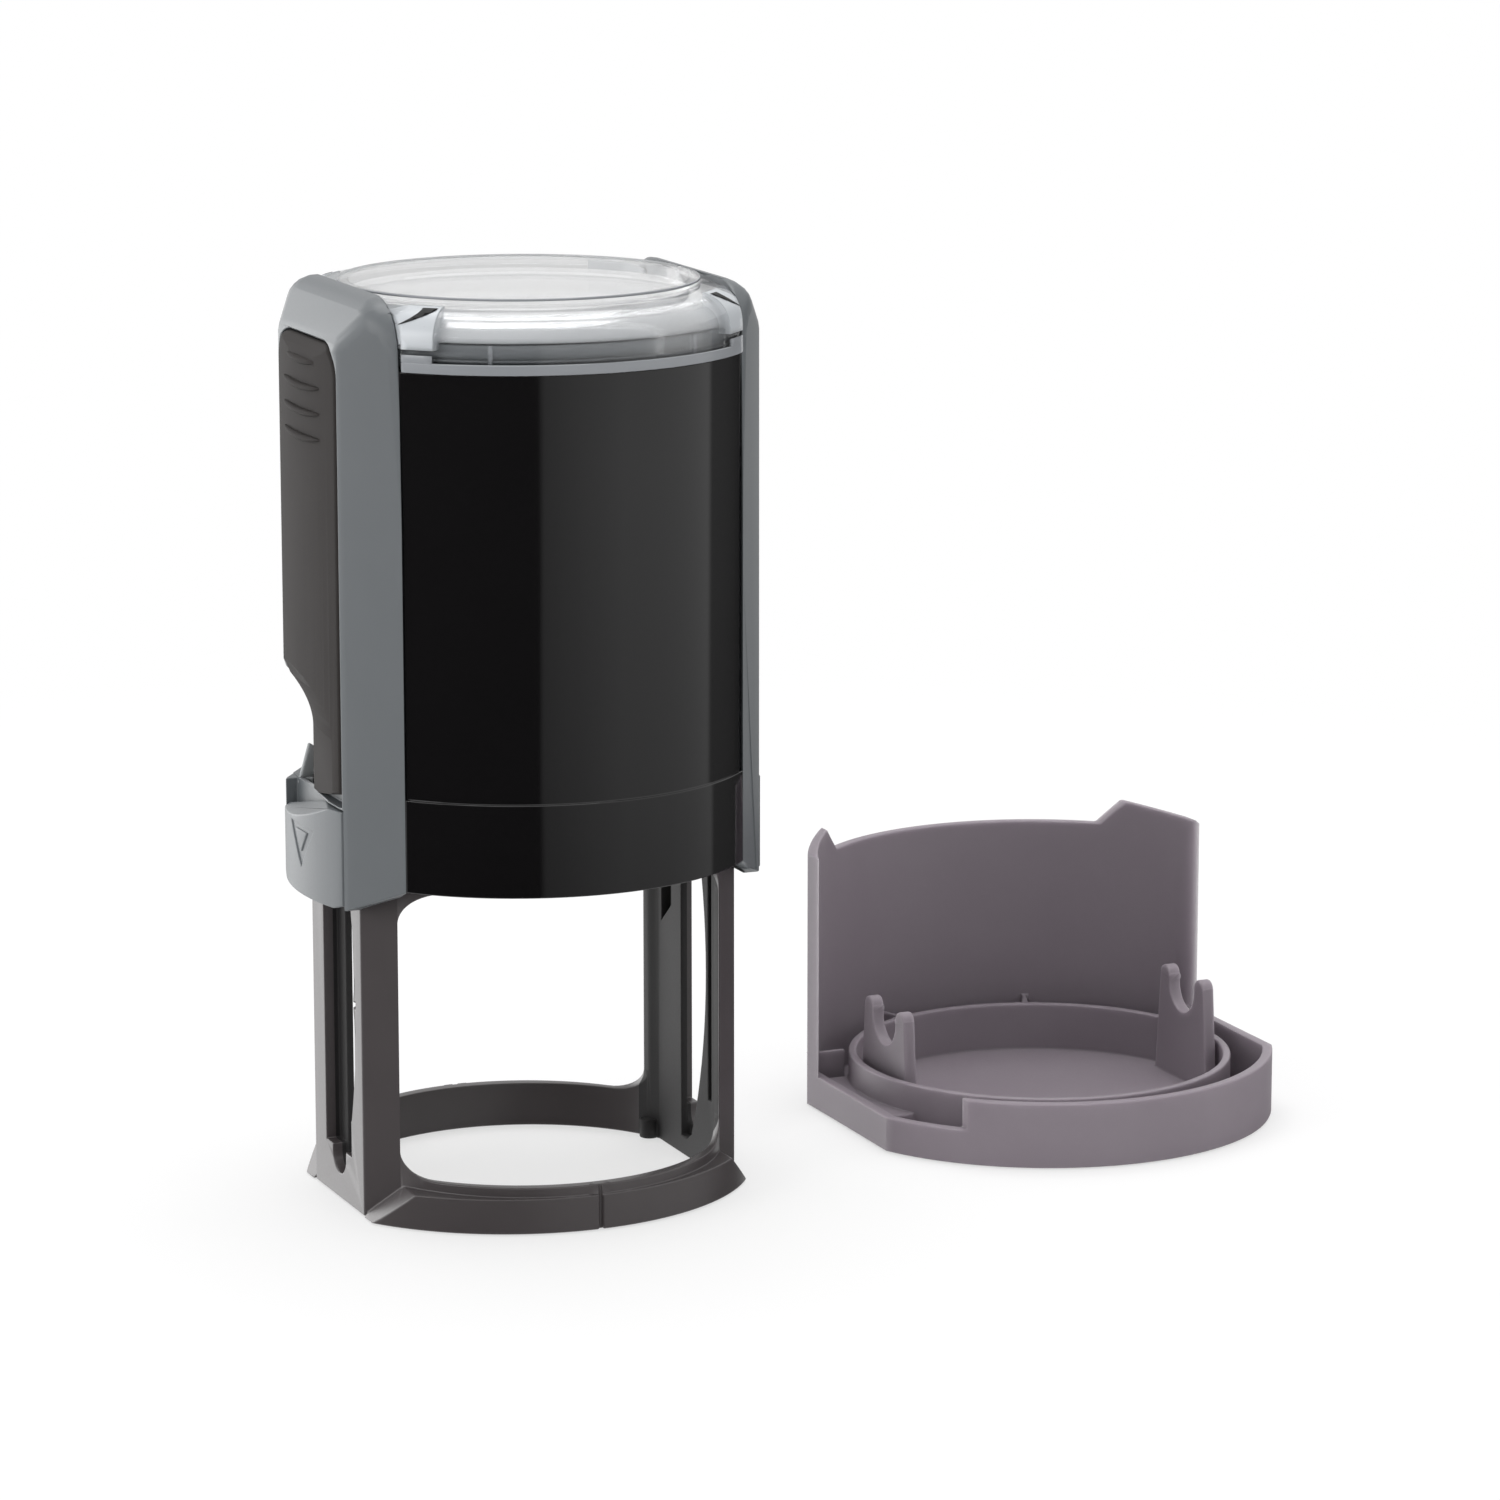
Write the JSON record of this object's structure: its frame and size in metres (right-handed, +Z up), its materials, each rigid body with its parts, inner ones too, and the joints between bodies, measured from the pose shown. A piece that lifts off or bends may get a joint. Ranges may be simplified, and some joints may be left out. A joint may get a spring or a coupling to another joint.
{
  "type": "self-inking stamp",
  "caption": "Round self-inking hand stamp: pressing the sprung casing turns the inked text plate over onto the paper; its protective cap stands beside it.",
  "frame": {"origin": "middle of the print on the table, on the stamp's vertical axis", "axes": "+Z up, away from the paper; -Y towards the front of the stamp; +X to the right, towards the cap"},
  "size_m": [0.1277, 0.0622, 0.1109],
  "materials": {
    "frame_plastic": "satin black-brown moulded plastic",
    "gloss_black": "polished black",
    "cheek_grey": "satin mid grey",
    "soft_grip": "matte soft-touch black",
    "card_white": "white card",
    "clear_plastic": "clear polished plastic",
    "foot_rubber": "matte",
    "cartridge_plastic": "satin",
    "ink_felt": "ink-soaked felt",
    "holder_plastic": "natural white moulded plastic",
    "spring_steel": "drawn wire",
    "foam": "closed-cell foam",
    "stamp_rubber": "laser-cut rubber",
    "cap_plastic": "satin grey-mauve"
  },
  "bodies": {
    "frame": {"base_frame": "frame_plastic", "frame_bridge": "frame_plastic", "anti_slip_feet": "foot_rubber", "ink_cartridge": "cartridge_plastic", "ink_felt": "ink_felt"},
    "handle": {"cover_shell": "gloss_black", "left_cheek": "cheek_grey", "right_cheek": "cheek_grey", "left_grip": "soft_grip", "right_grip": "soft_grip", "card_tray": "cheek_grey", "index_card": "card_white", "yoke": "frame_plastic", "return_spring": "spring_steel"},
    "top_window": {"clear_window": "clear_plastic"},
    "left_button": {"left_lock_button": "cheek_grey"},
    "right_button": {"right_lock_button": "cheek_grey"},
    "plate": {"plate_holder": "holder_plastic", "plate_axle": "spring_steel", "cam_pins": "spring_steel", "foam_cushion": "foam", "text_plate": "stamp_rubber"},
    "cap": {"protective_cap": "cap_plastic"}
  },
  "joints": [
    {"name": "press", "type": "slide", "parent": "frame", "child": "handle", "axis": [0, 0, -1], "range_m": [0, 0.0335], "stiffness_N_per_m": 120, "springref_m": -0.03, "deforming": ["return_spring"]},
    {"name": "plate_turn", "type": "hinge", "parent": "handle", "child": "plate", "pos_m": [0, 0, 0.0418], "axis": [1, 0, 0], "range_deg": [0, 180]},
    {"name": "window_lift", "type": "slide", "parent": "handle", "child": "top_window", "axis": [0, 0, 1], "range_m": [0, 0.03]},
    {"name": "left_button_press", "type": "slide", "parent": "handle", "child": "left_button", "axis": [1, 0, 0], "range_m": [0, 0.0009], "stiffness_N_per_m": 2000, "springref_m": -0.0008},
    {"name": "right_button_press", "type": "slide", "parent": "handle", "child": "right_button", "axis": [-1, 0, 0], "range_m": [0, 0.0009], "stiffness_N_per_m": 2000, "springref_m": -0.0008},
    {"name": "cap_slide", "type": "slide", "parent": "frame", "child": "cap", "axis": [1, 0, 0], "range_m": [0, 0.05]}
  ],
  "couplings": [
    {"joint": "plate_turn", "follows": "press", "rad_per_m": 93.779}
  ]
}
